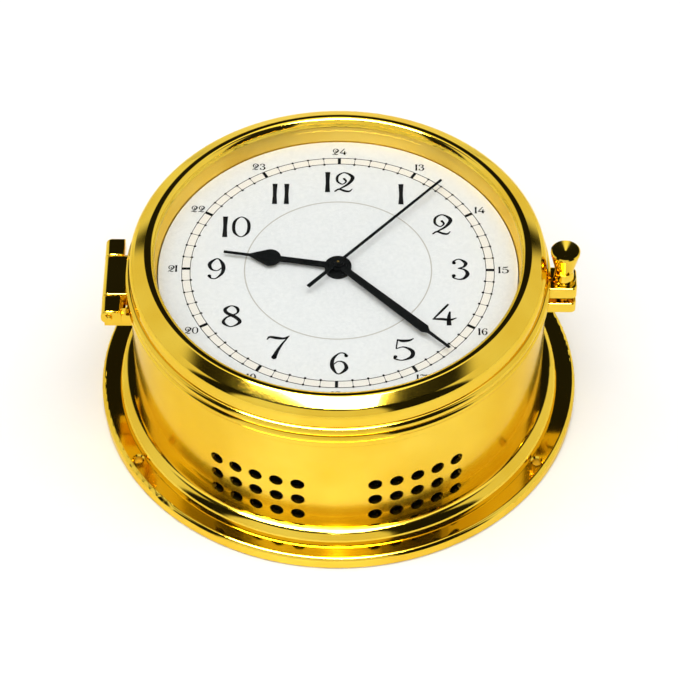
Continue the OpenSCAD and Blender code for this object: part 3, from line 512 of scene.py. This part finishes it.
# Strokes of each numeral, as points (x, y, half width) in shares of the numeral's height
STROKES = {
    "1": [[(0.09, 0, 0.092), (0.09, 0.5, 0.070), (0.09, 1, 0.090)]],
    "2": [[(0.30, 0.66, 0.045), (0.36, 0.53, 0.035), (0.24, 0.40, 0.025), (0.08, 0.55, 0.045),
           (0.10, 0.82, 0.045), (0.32, 0.97, 0.028), (0.57, 0.74, 0.070), (0.42, 0.40, 0.050),
           (0.08, 0.11, 0.022)],
          [(0.01, 0.05, 0.030), (0.14, 0.15, 0.040), (0.33, 0.06, 0.050), (0.47, 0.05, 0.040),
           (0.56, 0.16, 0.012)]],
    "3": [[(0.10, 0.80, 0.065), (0.10, 0.88, 0.035), (0.27, 0.975, 0.024), (0.48, 0.80, 0.068),
           (0.42, 0.62, 0.040), (0.24, 0.54, 0.018)],
          [(0.24, 0.54, 0.018), (0.44, 0.48, 0.040), (0.54, 0.28, 0.072), (0.42, 0.07, 0.050),
           (0.24, 0.025, 0.024), (0.08, 0.10, 0.035), (0.09, 0.19, 0.065)]],
    "4": [[(0.42, 1.0, 0.040), (0.22, 0.66, 0.045), (0.03, 0.34, 0.030)],
          [(0.01, 0.31, 0.030), (0.22, 0.31, 0.055), (0.46, 0.28, 0.050), (0.62, 0.36, 0.020)],
          [(0.46, 0.66, 0.030), (0.43, 0.40, 0.065), (0.43, 0.02, 0.085)]],
    "5": [[(0.14, 0.95, 0.025), (0.26, 0.90, 0.060), (0.44, 0.92, 0.050), (0.55, 1.0, 0.020)],
          [(0.14, 0.95, 0.026), (0.12, 0.76, 0.026), (0.10, 0.54, 0.022)],
          [(0.10, 0.54, 0.016), (0.30, 0.62, 0.030), (0.52, 0.44, 0.070), (0.50, 0.18, 0.066),
           (0.26, 0.025, 0.024), (0.07, 0.09, 0.035), (0.08, 0.18, 0.062)]],
    "6": [[(0.50, 0.84, 0.060), (0.44, 0.95, 0.030), (0.28, 0.95, 0.026), (0.09, 0.68, 0.060),
           (0.08, 0.32, 0.070), (0.26, 0.025, 0.026), (0.50, 0.26, 0.068), (0.44, 0.52, 0.045),
           (0.26, 0.59, 0.020), (0.10, 0.44, 0.020)]],
    "7": [[(0.01, 0.84, 0.020), (0.08, 0.95, 0.045), (0.27, 0.91, 0.062), (0.46, 0.89, 0.045),
           (0.60, 1.0, 0.020)],
          [(0.60, 1.0, 0.020), (0.42, 0.64, 0.040), (0.30, 0.34, 0.060), (0.21, 0.04, 0.085)]],
    "8": [[(0.44, 0.64, 0.035), (0.45, 0.86, 0.055), (0.28, 0.98, 0.022), (0.10, 0.84, 0.060),
           (0.14, 0.66, 0.065), (0.42, 0.44, 0.068), (0.53, 0.22, 0.062), (0.28, 0.022, 0.022),
           (0.06, 0.20, 0.058), (0.14, 0.44, 0.035), (0.44, 0.64, 0.022)]],
    "0": [[(0.31, 0.98, 0.020), (0.07, 0.74, 0.055), (0.07, 0.26, 0.055), (0.31, 0.02, 0.020),
           (0.55, 0.26, 0.055), (0.55, 0.74, 0.055), (0.31, 0.98, 0.020)]],
}
# Width of each numeral's strokes as drawn above, and what it is stretched by
DIGIT_W = 0.58
WIDTHS = {"1": 0.18, "0": 0.62}
STRETCH = {"1": 0.88, "2": 1.10, "3": 1.06, "4": 1.28, "5": 1.30, "6": 1.10, "7": 1.26, "8": 1.17, "9": 1.10}
DIGIT_GAP = 0.18
ELEVEN_GAP = 0.26
# Optical placing of the hour numerals, in millimetres from their even places
NUMERAL_SHIFT = {
    1: (0.9, -0.2), 2: (-0.4, 0.6), 3: (0, 0.3), 4: (-0.2, 0), 5: (1.5, -0.5), 6: (0.9, -1.2),
    7: (0.9, 0.5), 8: (0.4, -1.1), 9: (0, 0), 10: (0.8, -1.1), 11: (0.5, -0.3), 12: (0, 0),
}


def smooth(points, closed):
    """Points along a smooth curve through the given ones, widths included."""
    def corner(i):
        if closed:
            return Vector(points[i % (len(points) - 1)])
        if i < 0:
            return 2 * Vector(points[0]) - Vector(points[1])
        if i >= len(points):
            return 2 * Vector(points[-1]) - Vector(points[-2])
        return Vector(points[i])

    line = []
    for i in range(len(points) - 1):
        a, b, c, d = (corner(i + k) for k in (-1, 0, 1, 2))
        for s in range(STEPS):
            t = s / STEPS
            line.append(0.5 * (2 * b + (c - a) * t + (2 * a - 5 * b + 4 * c - d) * t * t
                               + (3 * b - a - 3 * c + d) * t * t * t))
    line.append(Vector(points[-1]))
    return line


def draw_stroke(mesh, points, size, origin):
    """Flat ribbon of one stroke, with a dot at each end if the stroke is long and open."""
    closed = points[0][:2] == points[-1][:2]
    line = smooth(points, closed)
    left, right = [], []
    for i, p in enumerate(line):
        before = line[max(i - 1, 0)]
        after = line[min(i + 1, len(line) - 1)]
        if closed and i in (0, len(line) - 1):
            before, after = line[-2], line[1]
        along = Vector((after.x - before.x, after.y - before.y)).normalized()
        side = Vector((-along.y, along.x)) * max(p.z, HAIRLINE)
        for edge, sign in ((left, 1), (right, -1)):
            edge.append(mesh.verts.new((origin.x + size * (p.x + sign * side.x),
                                        origin.y + size * (p.y + sign * side.y), PRINT_Z)))
    for i in range(len(line) - 1):
        mesh.faces.new((left[i], right[i], right[i + 1], left[i + 1]))
    if len(points) >= LONG_STROKE and not closed:
        for x, y, half in (points[0], points[-1]):
            draw_dot(mesh, origin + size * Vector((x, y)), size * half * DOT_SHARE)


def draw_dot(mesh, centre, radius):
    """Flat round dot."""
    turns = [math.tau * k / DOT_SIDES for k in range(DOT_SIDES)]
    mesh.faces.new([mesh.verts.new((centre.x + radius * math.cos(turn), centre.y + radius * math.sin(turn),
                                    PRINT_Z)) for turn in turns])


def glyph(digit, weight):
    """Strokes of one numeral at its own width; a nine is a six turned half round."""
    stretch = STRETCH.get(digit, 1)
    turned = digit == "9"
    strokes = []
    for points in STROKES["6" if turned else digit]:
        if turned:
            points = [(DIGIT_W - x, 1 - y, half) for x, y, half in points]
        strokes.append([(stretch * x, y, weight * half) for x, y, half in points])
    return strokes


def draw_number(mesh, number, size, centre, weight=1):
    """Numerals of a number, side by side about a centre."""
    digits = str(number)
    gap = ELEVEN_GAP if number == 11 else DIGIT_GAP
    widths = [WIDTHS.get(d, DIGIT_W) * STRETCH.get(d, 1) for d in digits]
    x = centre.x - size * (sum(widths) + gap * (len(digits) - 1)) / 2
    for digit, width in zip(digits, widths):
        for points in glyph(digit, weight):
            draw_stroke(mesh, points, size, Vector((x, centre.y - size / 2)))
        x += size * (width + gap)


def on_dial(radius, hour):
    """Point of the dial at a radius and an hour of twelve."""
    angle = math.tau * hour / 12
    return Vector((radius * math.sin(angle), radius * math.cos(angle)))


def dial_print(name, draw, material):
    """A printed layer on the dial, made by a function that draws into a flat mesh."""
    flat = bmesh.new()
    draw(flat)
    piece = add_object(flat, name, material)
    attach(piece, "case")


def draw_hours(mesh):
    """Large numerals, 1 to 12."""
    for hour in range(1, 13):
        draw_number(mesh, hour, NUMERAL_H, on_dial(NUMERAL_R, hour) + MM * Vector(NUMERAL_SHIFT[hour]))


def draw_small_hours(mesh):
    """Small outer numerals, 13 to 24."""
    for hour in range(13, 25):
        draw_number(mesh, hour, SMALL_H, on_dial(SMALL_R, hour), SMALL_WEIGHT)


def draw_minute_dots(mesh):
    """Dots on both lines of the track, at the minutes between the hours."""
    for minute in range(60):
        if minute % 5:
            for radius in (TRACK_IN, TRACK_OUT):
                draw_dot(mesh, on_dial(radius, minute / 5), MINUTE_DOT_R)


def draw_circle(mesh):
    """Thin circle inside the hour numerals."""
    inner, outer = ([mesh.verts.new((*on_dial(radius, 12 * k / CIRCLE_SIDES), PRINT_Z))
                     for k in range(CIRCLE_SIDES)]
                    for radius in (CIRCLE_R - CIRCLE_W / 2, CIRCLE_R + CIRCLE_W / 2))
    for k in range(CIRCLE_SIDES):
        after = (k + 1) % CIRCLE_SIDES
        mesh.faces.new((inner[k], inner[after], outer[after], outer[k]))


dial_print("hour_numerals", draw_hours, INK)
dial_print("small_numerals", draw_small_hours, INK)
dial_print("minute_dots", draw_minute_dots, INK)
dial_print("dial_circle", draw_circle, GREY_INK)


# Studio

FLOOR_SIZE = 6.0
FLOOR_Z = -0.5 * MM
PAPER_SHADE = (0.93, 0.93, 0.92)
PAPER_LIGHT = (0.95, 0.95, 0.94)
PAPER_GRAIN = 40


def make_floor():
    """Sheet of pale paper just under the clock."""
    flat = bmesh.new()
    bmesh.ops.create_grid(flat, x_segments=1, y_segments=1, size=FLOOR_SIZE / 2)
    shader = Shader("floor_paper")
    shader.set(Roughness=0.9, Specular_IOR_Level=0.1)
    shader.colour(shader.mix(shader.noise(PAPER_GRAIN, 2), PAPER_SHADE, PAPER_LIGHT))
    floor = add_object(flat, "floor", shader.material)
    floor.location.z = FLOOR_Z


def add_lamp(name, kind, power, place, aim):
    """Lamp that points at a place."""
    data = bpy.data.lights.new(name, kind)
    data.energy = power
    lamp = bpy.data.objects.new(name, data)
    lamp.location = place
    lamp.rotation_euler = (Vector(aim) - Vector(place)).to_track_quat("-Z", "Y").to_euler()
    scene.collection.objects.link(lamp)
    return lamp


def make_softbox(name, power, place, width, depth):
    """Softbox that shines on the clock."""
    lamp = add_lamp(name, "AREA", power, place, (0, 0, 0))
    lamp.data.shape = "RECTANGLE"
    lamp.data.size = width
    lamp.data.size_y = depth
    return lamp


GLINT_PLACE = (-0.13, -0.25, 1.5)
GLINT_SIZE = (0.96, 0.5)
GLINT_POWER = 70
FILL_PLACE = (0, -0.2, 1.6)
FILL_SIZE = (2.4, 2.0)
FILL_POWER = 24
POOL_PLACE = (0, -0.6, 0.9)
POOL_AIM = (-0.01, -0.13, 0)
POOL_CONE = math.radians(9)
POOL_POWER = 6


def make_lamps():
    """Softbox that only mirrors see, one that they don't, and a spot on the floor that the drum mirrors."""
    make_softbox("glint", GLINT_POWER, GLINT_PLACE, *GLINT_SIZE).visible_diffuse = False
    pool = add_lamp("pool", "SPOT", POOL_POWER, POOL_PLACE, POOL_AIM)
    pool.data.spot_size = POOL_CONE
    pool.data.spot_blend = 1.0
    make_softbox("fill", FILL_POWER, FILL_PLACE, *FILL_SIZE).visible_glossy = False


# Dark flags round the clock: azimuth clockwise from behind it, half width, lowest and highest elevation
FLAGS = (
    (0, 43, 15, 70),
    (180, 62, 55, 71),
    (-101, 25, 50, 71),
    (104, 24, 55, 72),
    (-119, 11, -10, 60),
    (136, 20, -10, 60),
)
FLAG_EDGE = 4
FLAG_DEPTH = 0.985
WALL_LIGHT = 0.95
WALL_TOP = 55
CEILING_LIGHT = 1.5
CEILING_EDGE = 72


def sine(angle):
    return math.sin(math.radians(angle))


def cosine(angle):
    return math.cos(math.radians(angle))


def flag_light(sky, heading, height, flag):
    """Share of the room's light that a flag leaves in each direction."""
    azimuth, half, low, high = flag
    towards = sky.add("ShaderNodeVectorMath", operation="DOT_PRODUCT")
    towards.inputs[1].default_value = (sine(azimuth), cosine(azimuth), 0)
    sky.link(heading, towards.inputs[0])
    across = sky.span(towards.outputs["Value"], cosine(half + FLAG_EDGE), cosine(half - FLAG_EDGE),
                      curve="SMOOTHSTEP")
    above = sky.span(height, sine(low - FLAG_EDGE), sine(low + FLAG_EDGE), curve="SMOOTHSTEP")
    below = sky.span(height, sine(high - FLAG_EDGE), sine(high + FLAG_EDGE), 1, 0, "SMOOTHSTEP")
    shade = sky.math("MULTIPLY", across, sky.math("MULTIPLY", above, below))
    return sky.span(shade, 0, 1, 1, 1 - FLAG_DEPTH, "SMOOTHSTEP")


def make_world():
    """Pale studio with a bright ceiling, and dark flags behind the clock, before it and at its sides."""
    world = bpy.data.worlds.new("studio")
    world.use_nodes = True
    scene.world = world
    sky = Nodes(world.node_tree)
    look = sky.add("ShaderNodeTexCoord").outputs["Generated"]
    height = sky.upright(look)
    heading = sky.add("ShaderNodeVectorMath", operation="NORMALIZE")
    sky.link(sky.level(look), heading.inputs[0])
    light = sky.span(height, sine(WALL_TOP), sine(CEILING_EDGE), WALL_LIGHT, CEILING_LIGHT, "SMOOTHSTEP")
    for flag in FLAGS:
        light = sky.math("MULTIPLY", light, flag_light(sky, heading.outputs[0], height, flag))
    background = sky.tree.nodes["Background"]
    background.inputs["Color"].default_value = (1, 1, 1, 1)
    sky.link(light, background.inputs["Strength"])


make_floor()
make_world()
make_lamps()
scene.view_settings.view_transform = "Standard"
